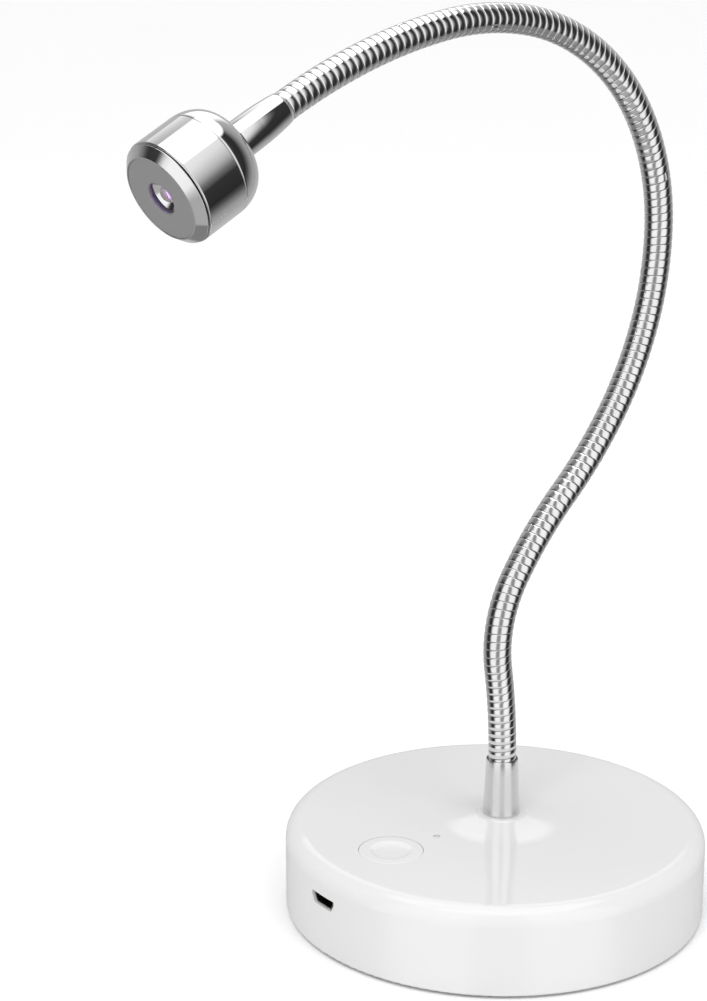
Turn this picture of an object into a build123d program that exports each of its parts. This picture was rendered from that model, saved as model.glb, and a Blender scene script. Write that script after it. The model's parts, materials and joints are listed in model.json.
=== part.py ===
from build123d import *
import os
from math import asin, cos, hypot, radians, sin, sqrt, tan

os.makedirs("parts", exist_ok=True)

# A UV curing lamp: a round weighted base, a gooseneck and a small drum head.
# Millimetres. +Z is up, -Y is the front, where the button and the socket are.
# The origin is the centre of the underside.

# Base
base_radius = 52.5
base_top = 22.4
top_edge_radius = 4.2
bottom_edge_radius = 0.8
wall = 2.4
pad_radius = 46.0
pad_thickness = 1.2
pad_recess = 0.6
pad_fit = 0.1
pad_edge_radius = 0.4
cover_clearance = 0.2
cover_thickness = 2.6
collar_radius = 17.0
collar_shoulder_radius = 6.4
collar_height = 1.6
collar_edge = 0.4
collar_root = 1.0
through = 1.0

cover_bottom = pad_thickness - pad_recess
cover_top = cover_bottom + cover_thickness
ceiling = base_top - wall
cavity_radius = base_radius - wall

# Ballast, battery and screws
ballast_radius = 36.0
ballast_thickness = 5.0
ballast_chamfer = 0.4
ballast_fit = 0.2
rib_thickness = 1.4
rib_height = 2.0
ballast_top = cover_top + ballast_thickness
battery_size = (40.0, 30.0, 6.0)
battery_y = 26.5
battery_edge_radius = 1.4
battery_tab_size = (14.0, 2.0, 1.6)
battery_tab_lift = 2.2
screw_circle = 43.0
cover_screw_radius = 1.2
cover_screw_length = 9.0
cover_screw_head = (2.6, 1.2)
cover_post_radius = 3.2
screw_fit = 0.02
screw_clearance = 0.2
screw_edge_radius = 0.3
cross_width = 0.5
cross_depth = 0.6

# Control board and what it carries
board_size = (30.0, 33.0, 1.2)
board_y = -30.0
board_top = 12.9
board_corner_radius = 1.5
board_screw_x = 12.0
board_screw_y = -27.0
board_screw_radius = 0.9
board_screw_length = 5.0
board_screw_head = (2.0, 1.2)
board_post_radius = 2.6
board_post_hole = 4.5
driver_size = (5.0, 4.0, 1.5)
driver_place = (-9.0, -38.0)
charger_size = (3.0, 1.8, 1.1)
charger_place = (9.0, -33.0)
chip_chamfer = 0.15
inductor_size = (5.0, 5.0, 3.0)
inductor_place = (9.0, -39.5)
inductor_corner_radius = 1.0
connector_size = (6.0, 4.5, 4.6)
connector_pocket = (4.4, 3.0)
connector_floor = 0.6
connector_pocket_back = 0.3
connector_x = 8.0
connector_y = -17.0
wire_entry_lift = 2.5
wire_z = board_top + wire_entry_lift
wire_radius = 0.45
battery_wire_straight = 8.0
battery_wire_run_in = 7.0
lamp_wire_straight = 8.0
lamp_wire_run_in = 4.0
lamp_wire_rise = 0.8
wire_offset = 0.5
wire_lift = 2.4
corner_share = 0.45

# Push button and indicator
button_y = -32.2
button_radius = 7.7
button_gap = 0.3
button_travel = 0.5
button_flange_radius = 8.9
button_flange_z = 18.8
button_flange_gap = 0.2
button_wall = 1.2
button_edge_radius = 0.5
button_dish_radius = 4.5
button_dish_depth = 0.35
switch_size = (6.0, 6.0, 3.5)
switch_chamfer = 0.4
switch_floor = 1.0
plunger_radius = 1.7
plunger_top = 17.6
plunger_rest = 1.0
plunger_fit = 0.1
stem_wall = 0.5
indicator_y = -18.2
indicator_radius = 0.8
indicator_fit = 0.05
indicator_edge_radius = 0.2
indicator_flange_radius = 1.6
indicator_flange_thickness = 0.8
led_base_size = (2.0, 1.25, 0.5)
led_lens_size = (1.2, 1.25, 0.4)
led_gap = 0.2

# Micro-USB socket
socket_z = 14.35
slot_width = 9.0
slot_height = 2.9
socket_width = 7.8
socket_height = 2.8
socket_wall = 0.35
socket_length = 7.0
socket_mouth_y = -51.9
socket_back = 1.0
socket_step = 0.35
socket_corner = 0.12
tongue_width = 3.8
tongue_thickness = 0.6
tongue_lift = 0.3

# Gooseneck: equal arcs, each with its forward and its sideways bend in degrees
neck_y = 2.0
neck_start_z = 38.5
neck_radius = 3.5
neck_bore = 2.2
arc_length = 24.0
forward_bends = (8.5, -40.0, -13.5, 12.5, 16.0, 17.5, 24.5, 27.5, 26.5, 20.0, 9.5, 7.0)
sideways_bends = (0.0, 0.0, 0.0, 0.0, 0.0, 0.0, 0.0, 0.0, 0.0, 0.0, 2.0, 4.0)
ball_depth = 2.0
joint_gap = 0.2
neck_in_ferrule = 11.0
lead_gap = 0.9

# Lower ferrule, on top of the base
ferrule_bottom_radius = 4.65
ferrule_top_radius = 4.0
ferrule_fit = 0.05
ferrule_edge_radius = 0.25
stud_radius = 3.9
stud_bottom = 14.9
stud_hole_fit = 0.15
washer_fit = 0.1
washer_radius = 7.5
washer_thickness = 1.1
nut_height = 3.0
nut_across_flats = 12.0

# Lamp head, measured along its axis from the end of the neck
nose_radius = 3.62
nose_middle = (4.1, 3.2)
nose_end = (4.3, 9.0)
sleeve_radius = 4.4
sleeve_bore = 1.8
head_radius = 12.22
head_back = 16.5
cap_seam = 23.5
bezel_seam = 34.2
head_face = 36.5
back_flat_radius = 7.4
face_radius = 10.0
edge_chamfer = 0.25
barrel_bore = 10.8
spigot_length = 2.6
cap_wall = 2.0
cap_hollow_radius = 9.4
cap_hollow_flat_radius = 6.6
cap_hole_fit = 0.1
groove_width = 0.3
groove_depth = 0.55
chamfer_step = 0.1
plate_ledge = 0.8
head_stud_radius = 3.0
head_stud_length = 4.8
head_nut_height = 2.3
head_nut_across_flats = 10.0
front_plate_radius = 9.7
front_plate_thickness = 1.1
front_plate_inset = 0.1
light_hole_radius = 3.8
light_hole_chamfer = 0.3
star_radius = 8.0
star_notch_radius = 1.6
star_notches = 6
star_thickness = 1.2
star_front = 32.6
package_size = 5.0
package_height = 0.9
package_chamfer = 0.3
dome_radius = 2.3
reflector_radius = 5.4
reflector_mouth_radius = 4.4
reflector_throat_radius = 2.6
reflector_seat_radius = 3.9
reflector_gap = 0.1
heat_sink_thickness = 5.0
heat_sink_bore = 1.6

base_align = (Align.CENTER, Align.CENTER, Align.MIN)


def disc(radius, bottom, top, x=0.0, y=0.0):
    """An upright cylinder between two heights."""
    return Pos(x, y, bottom) * Cylinder(radius, top - bottom, align=base_align)


def block(size, x, y, bottom):
    """A box standing on a height."""
    return Pos(x, y, bottom) * Box(*size, align=base_align)


def turned(*lines):
    """A solid of revolution about Z from a closed outline in the XZ plane."""
    return revolve(make_face(Curve() + list(lines)), Axis.Z)


def hex_prism(across_flats, bottom, top):
    """A hexagonal prism on the Z axis."""
    outline = RegularPolygon(across_flats / sqrt(3), 6)
    return Pos(0, 0, bottom) * extrude(outline, top - bottom)


def screw_places():
    """Centres of the four cover screws."""
    return [Rot(0, 0, 45 + 90 * i) * Pos(screw_circle, 0, 0) for i in range(4)]


# ---------------------------------------------------------------- base


def base_shell():
    body = disc(base_radius, cover_bottom, base_top)
    body = fillet(body.edges().group_by(Axis.Z)[-1], top_edge_radius)
    body = fillet(body.edges().group_by(Axis.Z)[0], bottom_edge_radius)
    cavity = disc(cavity_radius, cover_bottom, ceiling)
    cavity = fillet(cavity.edges().group_by(Axis.Z)[-1], wall)
    body = body - cavity + neck_collar()
    for place in screw_places():
        body += place * disc(cover_post_radius, cover_top, ceiling)
        body -= place * disc(cover_screw_radius, cover_top, cover_top + cover_screw_length)
    for side in (-1, 1):
        x = side * board_screw_x
        body += disc(board_post_radius, board_top, ceiling, x, board_screw_y)
        body -= disc(board_screw_radius, board_top, board_top + board_post_hole, x, board_screw_y)
    body -= top_hole(button_radius + button_gap, button_y)
    body -= top_hole(indicator_radius + indicator_fit, indicator_y)
    body -= top_hole(stud_radius + stud_hole_fit, neck_y)
    return body - socket_slot()


def top_hole(radius, y):
    """A cutter that goes right through the top of the base and its collar."""
    return disc(radius, ceiling - through, base_top + collar_height + through, 0, y)


def neck_collar():
    """Low raised seat round the ferrule that flares into the top of the base."""
    low = base_top - collar_root
    crest = base_top + collar_height
    shoulder = crest - collar_edge
    outline = Polyline(
        (collar_radius, 0, base_top),
        (collar_radius, 0, low),
        (0, 0, low),
        (0, 0, crest),
        (collar_shoulder_radius - collar_edge, 0, crest),
        (collar_shoulder_radius, 0, shoulder),
    )
    run = collar_radius - collar_shoulder_radius
    rise = shoulder - base_top
    flare_radius = (run**2 + rise**2) / (2 * rise)
    half_angle = asin(run / flare_radius) / 2
    flare = ThreePointArc(
        (collar_shoulder_radius, 0, shoulder),
        (
            collar_radius - flare_radius * sin(half_angle),
            0,
            base_top + flare_radius * (1 - cos(half_angle)),
        ),
        (collar_radius, 0, base_top),
    )
    return Pos(0, neck_y, 0) * turned(outline, flare)


def socket_outline(width, height):
    """Outline of a micro-USB mouth, wide at the top, seen from the front."""
    half = width / 2
    step = height * socket_step
    points = [
        (-half, height / 2),
        (half, height / 2),
        (half, height / 2 - step),
        (half - step, -height / 2),
        (step - half, -height / 2),
        (-half, height / 2 - step),
    ]
    face = make_face(Polyline(*points, close=True))
    return fillet(face.vertices(), height * socket_corner)


def socket_prism(width, height, front, length):
    """A bar with the socket's outline that runs back from the front."""
    plane = Plane((0, front, socket_z), x_dir=(1, 0, 0), z_dir=(0, -1, 0))
    return extrude(plane * socket_outline(width, height), -length)


def socket_slot():
    return socket_prism(slot_width, slot_height, -base_radius - through, 2 * wall + through)


def base_cover():
    plate = disc(cavity_radius - cover_clearance, cover_bottom, cover_top)
    plate -= disc(pad_radius + pad_fit, cover_bottom, pad_thickness)
    rib_radius = ballast_radius + ballast_fit
    rib_top = cover_top + rib_height
    plate += disc(rib_radius + rib_thickness, cover_top, rib_top) - disc(rib_radius, cover_top, rib_top)
    pan_radius, pan_height = cover_screw_head
    for place in screw_places():
        plate -= place * disc(cover_screw_radius + screw_clearance, pad_thickness, cover_top)
        plate -= place * disc(pan_radius + pad_fit, pad_thickness, pad_thickness + pan_height)
    return plate


def base_pad():
    pad = disc(pad_radius, 0, pad_thickness)
    return fillet(pad.edges().group_by(Axis.Z)[0], pad_edge_radius)


def ballast_plate():
    plate = disc(ballast_radius, cover_top, ballast_top)
    return chamfer(plate.edges(), ballast_chamfer)


def screw(radius, head, length):
    """A pan-head screw that points up, with a cross recess in its head."""
    pan_radius, pan_height = head
    shank = disc(radius - screw_fit, pan_height, pan_height + length)
    pan = disc(pan_radius, 0, pan_height)
    pan = fillet(pan.edges().group_by(Axis.Z)[0], screw_edge_radius)
    recess = block((2 * radius, cross_width, cross_depth), 0, 0, 0)
    recess += block((cross_width, 2 * radius, cross_depth), 0, 0, 0)
    return pan + shank - recess


def cover_screws():
    one = Pos(0, 0, pad_thickness) * screw(cover_screw_radius, cover_screw_head, cover_screw_length)
    return Compound([place * one for place in screw_places()])


def board_screws():
    bottom = board_top - board_size[2] - board_screw_head[1]
    one = screw(board_screw_radius, board_screw_head, board_screw_length)
    return Compound([Pos(side * board_screw_x, board_screw_y, bottom) * one for side in (-1, 1)])


def battery_cell():
    cell = block(battery_size, 0, battery_y, ballast_top)
    cell = fillet(cell.edges().filter_by(Axis.X), battery_edge_radius)
    tab_y = battery_y - battery_size[1] / 2 - battery_tab_size[1] / 2
    return cell + block(battery_tab_size, -connector_x, tab_y, ballast_top + battery_tab_lift)


def control_board():
    board = block(board_size, 0, board_y, board_top - board_size[2])
    board = fillet(board.edges().filter_by(Axis.Z), board_corner_radius)
    hole_radius = board_screw_radius + screw_clearance
    for side in (-1, 1):
        board -= disc(hole_radius, 0, base_top, side * board_screw_x, board_screw_y)
    return board


def chip(size, place):
    """A moulded chip on the board with a chamfered top."""
    body = block(size, *place, board_top)
    return chamfer(body.edges().group_by(Axis.Z)[-1], chip_chamfer)


def power_inductor():
    coil = block(inductor_size, *inductor_place, board_top)
    return fillet(coil.edges().filter_by(Axis.Z), inductor_corner_radius)


def wire_connector(side):
    """A two-way connector, an open-topped housing whose wires leave towards the back."""
    x = side * connector_x
    housing = block(connector_size, x, connector_y, board_top)
    pocket_size = (*connector_pocket, connector_size[2])
    pocket_y = connector_y - connector_pocket_back
    return housing - block(pocket_size, x, pocket_y, board_top + connector_floor)


def lead_pair(points):
    """Two wires side by side along one route with large tangent arcs."""
    wires = []
    for side in (-1, 1):
        corners = [Vector(*p) + Vector(side * wire_offset, 0, 0) for p in points]
        route = FilletPolyline(*corners, radius=corner_radii(corners))
        profile = Plane(route @ 0, z_dir=route % 0) * Circle(wire_radius)
        wires.append(sweep(profile, path=route))
    return Compound(wires)


def corner_radii(corners):
    """The largest arc that each inner corner of a route has room for."""
    radii = []
    for before, at, after in zip(corners, corners[1:], corners[2:]):
        run_in = at - before
        run_out = after - at
        half_turn = radians(run_in.get_angle(run_out)) / 2
        radii.append(corner_share * min(run_in.length, run_out.length) / tan(half_turn))
    return radii


def battery_leads():
    cell_edge = battery_y - battery_size[1] / 2 - battery_tab_size[1]
    cell_z = ballast_top + battery_tab_lift + battery_tab_size[2] / 2
    connector_back = connector_y + connector_size[1] / 2
    return lead_pair([
        (-connector_x, cell_edge, cell_z),
        (-connector_x, cell_edge - battery_wire_straight, cell_z),
        (-connector_x, connector_back + battery_wire_run_in, wire_z),
        (-connector_x, connector_back, wire_z),
    ])


def lamp_leads():
    connector_back = connector_y + connector_size[1] / 2
    low = ballast_top + wire_lift
    return lead_pair([
        (0, neck_y, stud_bottom),
        (0, neck_y, low),
        (connector_x, neck_y - lamp_wire_straight, low + lamp_wire_rise),
        (connector_x, connector_back + lamp_wire_run_in, wire_z),
        (connector_x, connector_back, wire_z),
    ])


# ---------------------------------------------------------------- button and socket


def power_button():
    rim = disc(button_radius, button_flange_z, base_top, 0, button_y)
    rim = fillet(rim.edges().group_by(Axis.Z)[-1], button_edge_radius)
    flange = disc(button_flange_radius, button_flange_z, ceiling - button_flange_gap, 0, button_y)
    hollow_top = base_top - button_wall
    hollow = disc(button_radius - button_wall, button_flange_z, hollow_top, 0, button_y)
    stem = disc(plunger_radius + stem_wall, plunger_top, hollow_top, 0, button_y)
    sphere_radius = (button_dish_radius**2 + button_dish_depth**2) / (2 * button_dish_depth)
    dish_z = base_top + sphere_radius - button_dish_depth
    return rim + flange - hollow + stem - Pos(0, button_y, dish_z) * Sphere(sphere_radius)


def tact_switch():
    body = block(switch_size, 0, button_y, board_top)
    body = chamfer(body.edges().filter_by(Axis.Z), switch_chamfer)
    return body - disc(plunger_radius + plunger_fit, board_top + switch_floor, base_top, 0, button_y)


def switch_plunger():
    bottom = board_top + switch_floor + plunger_rest
    return disc(plunger_radius, bottom, plunger_top, 0, button_y)


def indicator_lens():
    bottom = board_top + led_base_size[2] + led_lens_size[2] + led_gap
    pipe = disc(indicator_radius, bottom, base_top, 0, indicator_y)
    pipe = fillet(pipe.edges().group_by(Axis.Z)[-1], indicator_edge_radius)
    flange_bottom = ceiling - indicator_flange_thickness
    return pipe + disc(indicator_flange_radius, flange_bottom, ceiling, 0, indicator_y)


def indicator_led():
    body = block(led_base_size, 0, indicator_y, board_top)
    return body + block(led_lens_size, 0, indicator_y, board_top + led_base_size[2])


def usb_socket_shell():
    sleeve = socket_prism(socket_width, socket_height, socket_mouth_y, socket_length)
    inner_width = socket_width - 2 * socket_wall
    inner_height = socket_height - 2 * socket_wall
    hollow = socket_prism(inner_width, inner_height, socket_mouth_y - socket_back, socket_length)
    return sleeve - hollow


def usb_socket_tongue():
    """The contact bar, which stands out of the closed back of the socket."""
    back = socket_mouth_y + socket_length - socket_back
    size = (tongue_width, socket_length - 2 * socket_back, tongue_thickness)
    bar = Box(*size, align=(Align.CENTER, Align.MAX, Align.CENTER))
    return Pos(0, back, socket_z + tongue_lift) * bar


# ---------------------------------------------------------------- gooseneck


def bending_frame(frame, forward, sideways):
    """The same frame turned about its tangent, so that its x axis points into the bend."""
    inward = frame.x_dir * sideways - frame.y_dir * forward
    return Plane(frame.origin, x_dir=inward, z_dir=frame.z_dir)


def neck_arc(frame, forward, sideways):
    """An arc's bending frame, its turn, the axis that it turns about and its end frame."""
    bend = bending_frame(frame, forward, sideways)
    turn = hypot(forward, sideways)
    radius = arc_length / radians(turn)
    axis = Axis(bend.from_local_coords(Vector(radius, 0, 0)), bend.y_dir)
    rise = radius * sin(radians(turn))
    shift = radius * (1 - cos(radians(turn)))
    spin = Axis((0, 0, 0), bend.y_dir)
    end = Plane(
        bend.from_local_coords(Vector(shift, 0, rise)),
        x_dir=frame.x_dir.rotate(spin, turn),
        z_dir=frame.z_dir.rotate(spin, turn),
    )
    return bend, turn, axis, end


def neck_segments():
    """Tube and wires of each arc, and the frame at the end of the neck.

    A segment's lower end is a ball about the point where it turns on the segment below,
    and its upper end is a socket for the next ball.
    """
    frame = Plane((0, neck_y, neck_start_z), x_dir=(1, 0, 0), z_dir=(0, 0, 1))
    count = len(forward_bends)
    tubes = []
    wires = []
    for i, (forward, sideways) in enumerate(zip(forward_bends, sideways_bends)):
        bend, turn, axis, end = neck_arc(frame, forward, sideways)
        first = i == 0
        last = i == count - 1
        tube = revolve(bend * neck_ring(), axis, turn)
        tube += bend * (neck_stub(-neck_in_ferrule) if first else neck_ball())
        if last:
            tube += end * neck_stub(neck_in_ferrule)
        else:
            tube -= end * Sphere(neck_radius + joint_gap)
        tubes.append(tube)
        wires.append(arc_leads(bend, turn, axis, end, first, last))
        frame = end
    return tubes, wires, frame


def neck_ring():
    return Circle(neck_radius) - Circle(neck_bore)


def neck_stub(length):
    """The straight end of the gooseneck that a ferrule grips."""
    return extrude(neck_ring(), length)


def neck_ball():
    """A ball end, cut short so that the wires have room to bend."""
    zone = Box(2 * neck_radius, 2 * neck_radius, ball_depth, align=(Align.CENTER, Align.CENTER, Align.MAX))
    return (Sphere(neck_radius) & zone) - Cylinder(neck_bore, 2 * (neck_radius + through))


def wire_profile():
    return Sketch() + [Pos(0, side * wire_offset) * Circle(wire_radius) for side in (-1, 1)]


def arc_leads(bend, turn, axis, end, first, last):
    """The two wires inside one segment, clear of its joints."""
    margin = turn * lead_gap / arc_length
    start = 0 if first else margin
    stop = turn if last else turn - margin
    profile = (bend * wire_profile()).rotate(axis, start)
    pieces = list(revolve(profile, axis, stop - start).solids())
    if first:
        pieces = lengthened(pieces, bend, stud_bottom - neck_start_z)
    if last:
        pieces = lengthened(pieces, flat_end(bend, end), star_front - star_thickness)
    return Compound(pieces)


def flat_end(bend, end):
    """The end frame, turned so that its y axis lies along the axis of the last bend."""
    return Plane(end.origin, x_dir=bend.y_dir.cross(end.z_dir), z_dir=end.z_dir)


def lengthened(pieces, frame, length):
    """Each wire with a straight run added at its end."""
    runs = extrude(frame * wire_profile(), length, dir=frame.z_dir).solids()
    longer = []
    for piece in pieces:
        run = min(runs, key=lambda solid: solid.distance_to(piece))
        longer.append((Part() + piece + run).solid())
    return longer


def lower_ferrule():
    seat = base_top + collar_height
    cone = Pos(0, 0, seat) * Cone(
        ferrule_bottom_radius, ferrule_top_radius, neck_start_z - seat, align=base_align
    )
    cone = fillet(cone.edges().group_by(Axis.Z)[-1], ferrule_edge_radius)
    body = cone + disc(stud_radius, stud_bottom, seat)
    body -= disc(neck_radius + ferrule_fit, neck_start_z - neck_in_ferrule, neck_start_z + through)
    body -= disc(neck_bore, stud_bottom - through, neck_start_z)
    return Pos(0, neck_y, 0) * body


def neck_washer():
    ring = disc(washer_radius, ceiling - washer_thickness, ceiling, 0, neck_y)
    return ring - disc(stud_radius + washer_fit, 0, ceiling, 0, neck_y)


def neck_nut():
    top = ceiling - washer_thickness
    nut = hex_prism(nut_across_flats, top - nut_height, top) - disc(stud_radius + screw_fit, 0, top)
    return Pos(0, neck_y, 0) * nut


# ---------------------------------------------------------------- lamp head


def upper_ferrule():
    nose_start = (nose_radius, 0, 0)
    nose_side = (nose_middle[0], 0, nose_middle[1])
    nose_back = (nose_end[0], 0, nose_end[1])
    side = Polyline(nose_back, (sleeve_radius, 0, head_back), (0, 0, head_back), (0, 0, 0), nose_start)
    nose = ThreePointArc(nose_start, nose_side, nose_back)
    end = head_back + head_stud_length
    body = turned(side, nose) + disc(head_stud_radius, head_back, end)
    body -= disc(neck_radius + ferrule_fit, -through, neck_in_ferrule)
    return body - disc(sleeve_bore, 0, end + through)


def ferrule_nut():
    bottom = head_back + cap_wall
    nut = hex_prism(head_nut_across_flats, bottom, bottom + head_nut_height)
    return nut - disc(head_stud_radius + screw_fit, bottom, bottom + head_nut_height)


def rounded_back(flat_radius, side_radius, back, front):
    """A solid whose back edge is a quarter ellipse between a flat and a side."""
    centre = (flat_radius, front)
    wide = side_radius - flat_radius
    quarter = EllipticalCenterArc(centre, wide, front - back, start_angle=270, arc_size=90)
    edge = Polyline((flat_radius, back), (0, back), (0, front), (side_radius, front))
    return revolve(Plane.XZ * make_face(Curve() + [edge, quarter]), Axis.Z)


def head_rear_cap():
    body = rounded_back(back_flat_radius, head_radius, head_back, cap_seam)
    body = chamfer(body.edges().group_by(Axis.Z)[-1], edge_chamfer)
    body += disc(barrel_bore - screw_fit, cap_seam, cap_seam + spigot_length)
    hollow = rounded_back(cap_hollow_flat_radius, cap_hollow_radius, head_back + cap_wall, cap_seam)
    body -= hollow + disc(cap_hollow_radius, cap_seam, cap_seam + spigot_length)
    return body - disc(head_stud_radius + cap_hole_fit, head_back - through, cap_seam)


def head_barrel():
    body = chamfer(disc(head_radius, cap_seam, bezel_seam).edges(), edge_chamfer)
    return body - disc(barrel_bore, cap_seam, bezel_seam)


def front_bezel():
    seam = bezel_seam + groove_width
    ring = disc(head_radius - groove_depth, bezel_seam, seam)
    ring += Pos(0, 0, seam) * Cone(
        head_radius - chamfer_step, face_radius, head_face - seam, align=base_align
    )
    ring += disc(barrel_bore - screw_fit, bezel_seam - spigot_length, bezel_seam)
    plate_back = head_face - front_plate_inset - front_plate_thickness
    ring -= disc(front_plate_radius + screw_fit, plate_back, head_face)
    return ring - disc(front_plate_radius - plate_ledge, bezel_seam - spigot_length, plate_back)


def front_plate():
    top = head_face - front_plate_inset
    plate = disc(front_plate_radius, top - front_plate_thickness, top)
    plate -= disc(light_hole_radius, 0, top)
    rim = plate.edges().filter_by(GeomType.CIRCLE).group_by(Axis.Z)[-1].sort_by(SortBy.RADIUS)
    return chamfer(rim[0], light_hole_chamfer)


def led_star_board():
    board = disc(star_radius, star_front - star_thickness, star_front)
    step = 360 / star_notches
    for i in range(star_notches):
        board -= Rot(0, 0, step * (i + 0.5)) * disc(star_notch_radius, 0, star_front, star_radius)
    return board


def led_package():
    body = block((package_size, package_size, package_height), 0, 0, star_front)
    return chamfer(body.edges().filter_by(Axis.Z), package_chamfer)


def led_dome():
    dome = Sphere(dome_radius) & disc(dome_radius, 0, dome_radius)
    return Pos(0, 0, star_front + package_height) * dome


def led_reflector():
    """A bright funnel that stands on the star board round the package, up to the plate."""
    top = head_face - front_plate_inset - front_plate_thickness - reflector_gap
    throat = star_front + package_height + reflector_gap
    body = disc(reflector_radius, star_front, top) - disc(reflector_seat_radius, star_front, throat)
    funnel = Cone(reflector_throat_radius, reflector_mouth_radius, top - throat, align=base_align)
    return body - Pos(0, 0, throat) * funnel


def heat_sink():
    top = star_front - star_thickness
    slug = disc(barrel_bore - screw_fit, top - heat_sink_thickness, top)
    return slug - disc(heat_sink_bore, 0, top)


def head_parts():
    """Every piece of the head, along +Z from the end of the neck."""
    return {
        "upper_ferrule": upper_ferrule(),
        "ferrule_nut": ferrule_nut(),
        "head_rear_cap": head_rear_cap(),
        "head_barrel": head_barrel(),
        "front_bezel": front_bezel(),
        "front_plate": front_plate(),
        "led_star_board": led_star_board(),
        "led_package": led_package(),
        "led_dome": led_dome(),
        "led_reflector": led_reflector(),
        "heat_sink": heat_sink(),
    }


def base_parts():
    return {
        "base_shell": base_shell(),
        "base_cover": base_cover(),
        "base_pad": base_pad(),
        "ballast_plate": ballast_plate(),
        "cover_screws": cover_screws(),
        "control_board": control_board(),
        "board_screws": board_screws(),
        "driver_chip": chip(driver_size, driver_place),
        "charge_chip": chip(charger_size, charger_place),
        "power_inductor": power_inductor(),
        "battery_connector": wire_connector(-1),
        "lamp_connector": wire_connector(1),
        "battery_cell": battery_cell(),
        "battery_leads": battery_leads(),
        "lamp_leads": lamp_leads(),
        "power_button": power_button(),
        "tact_switch": tact_switch(),
        "switch_plunger": switch_plunger(),
        "indicator_lens": indicator_lens(),
        "indicator_led": indicator_led(),
        "usb_socket_shell": usb_socket_shell(),
        "usb_socket_tongue": usb_socket_tongue(),
        "lower_ferrule": lower_ferrule(),
        "neck_washer": neck_washer(),
        "neck_nut": neck_nut(),
    }


def all_parts():
    parts = base_parts()
    tubes, wires, neck_end = neck_segments()
    for number, (tube, wire) in enumerate(zip(tubes, wires), start=1):
        parts[f"neck_segment_{number:02d}"] = tube
        parts[f"neck_lead_{number:02d}"] = wire
    for name, solid in head_parts().items():
        parts[name] = neck_end * solid
    return parts


for name, solid in all_parts().items():
    export_step(solid, f"parts/{name}.step")
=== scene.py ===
import json
import math

import bmesh
import bpy
from mathutils import Matrix, Vector


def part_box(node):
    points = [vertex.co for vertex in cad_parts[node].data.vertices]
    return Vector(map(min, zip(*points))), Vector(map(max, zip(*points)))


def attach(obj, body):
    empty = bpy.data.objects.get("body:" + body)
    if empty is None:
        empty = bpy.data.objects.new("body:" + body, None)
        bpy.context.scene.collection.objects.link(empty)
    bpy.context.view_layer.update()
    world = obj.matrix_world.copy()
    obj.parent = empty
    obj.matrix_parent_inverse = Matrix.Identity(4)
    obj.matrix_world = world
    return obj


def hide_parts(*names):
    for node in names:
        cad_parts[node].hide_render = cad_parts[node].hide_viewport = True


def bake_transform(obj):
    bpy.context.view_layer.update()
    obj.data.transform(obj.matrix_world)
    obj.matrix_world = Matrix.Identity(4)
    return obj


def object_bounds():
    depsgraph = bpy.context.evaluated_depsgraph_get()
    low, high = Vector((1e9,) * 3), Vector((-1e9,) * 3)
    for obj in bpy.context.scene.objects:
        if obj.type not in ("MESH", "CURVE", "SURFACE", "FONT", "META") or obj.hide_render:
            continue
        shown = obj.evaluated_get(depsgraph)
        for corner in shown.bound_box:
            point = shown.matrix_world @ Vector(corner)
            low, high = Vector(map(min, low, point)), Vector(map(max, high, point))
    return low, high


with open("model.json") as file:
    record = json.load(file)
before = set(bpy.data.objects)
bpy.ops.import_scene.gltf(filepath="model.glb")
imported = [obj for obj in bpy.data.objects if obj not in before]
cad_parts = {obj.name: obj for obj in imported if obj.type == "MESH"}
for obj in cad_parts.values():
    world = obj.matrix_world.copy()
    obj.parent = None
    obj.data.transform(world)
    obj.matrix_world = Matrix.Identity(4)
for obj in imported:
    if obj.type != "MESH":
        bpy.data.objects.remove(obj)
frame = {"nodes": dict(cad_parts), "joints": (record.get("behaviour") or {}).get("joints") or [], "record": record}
cad_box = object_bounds()

# Everything is in metres, in the frame of the CAD model: +Z up, -Y the front.
MM = 0.001

# Gooseneck: a convex band wound in a close helix
COIL_PITCH = 1.95 * MM
COIL_CREST = 3.49 * MM
COIL_CROWN = 0.06 * MM
COIL_EDGE = 0.15 * MM
COIL_INNER = 2.8 * MM
COIL_GAP = 0.02 * MM
COIL_STEPS_PER_TURN = 40
COIL_BAND = (-1, -0.975, -0.94, -0.89, -0.8, -0.6, -0.3, 0, 0.3, 0.6, 0.8, 0.89, 0.94, 0.975, 1)
COIL_ROUNDNESS = 14
COIL_TUCK = 2.5 * MM
BEND_REACH = 10.8 * MM
FERRULE_BORE = COIL_CREST + 0.05 * MM

# Turned pieces
LATHE_STEPS = 144
CORNER_STEPS = 4

# Camera: the place it looks at, from the middle of the lamp, and where it stands
AIM_OFFSET = Vector((0.0024, -0.0209, 0.0019))
CAMERA_DISTANCE = 0.55
CAMERA_AZIMUTH = 55.0
CAMERA_PITCH = 16.5
CAMERA_LENS = 86.3

# Studio: brightness at angles away from the camera's side, above and below
STUDIO_SIDES = (
    (0, 0.27), (9, 0.33), (15, 0.60), (20, 0.95), (28, 1.0), (48, 1.0), (57, 0.86),
    (63, 0.52), (68, 0.18), (73, 0.035), (92, 0.025), (99, 0.08), (108, 0.20),
    (120, 0.34), (135, 0.41), (150, 0.46), (165, 0.50), (180, 0.48),
)
STUDIO_FLOOR_SIDES = ((0, 0.44), (30, 0.41), (50, 0.36), (75, 0.24), (100, 0.22))
STUDIO_CEILING = 1.8
STUDIO_UPPER_GAP = 0.22
STUDIO_BACK = 1.3
STUDIO_STRENGTH = 1.1

# Where the studio's zones fade in: shares of half a turn away from the camera's side,
# and heights of the reflected direction
BACK_SIDES = (0.76, 0.95)
BACK_HEIGHTS = (0.38, 0.50)
GAP_HEIGHTS = (0.10, 0.75)
CEILING_HEIGHTS = (0.84, 0.90)
FLOOR_HEIGHTS = (-0.72, -0.55)

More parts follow.
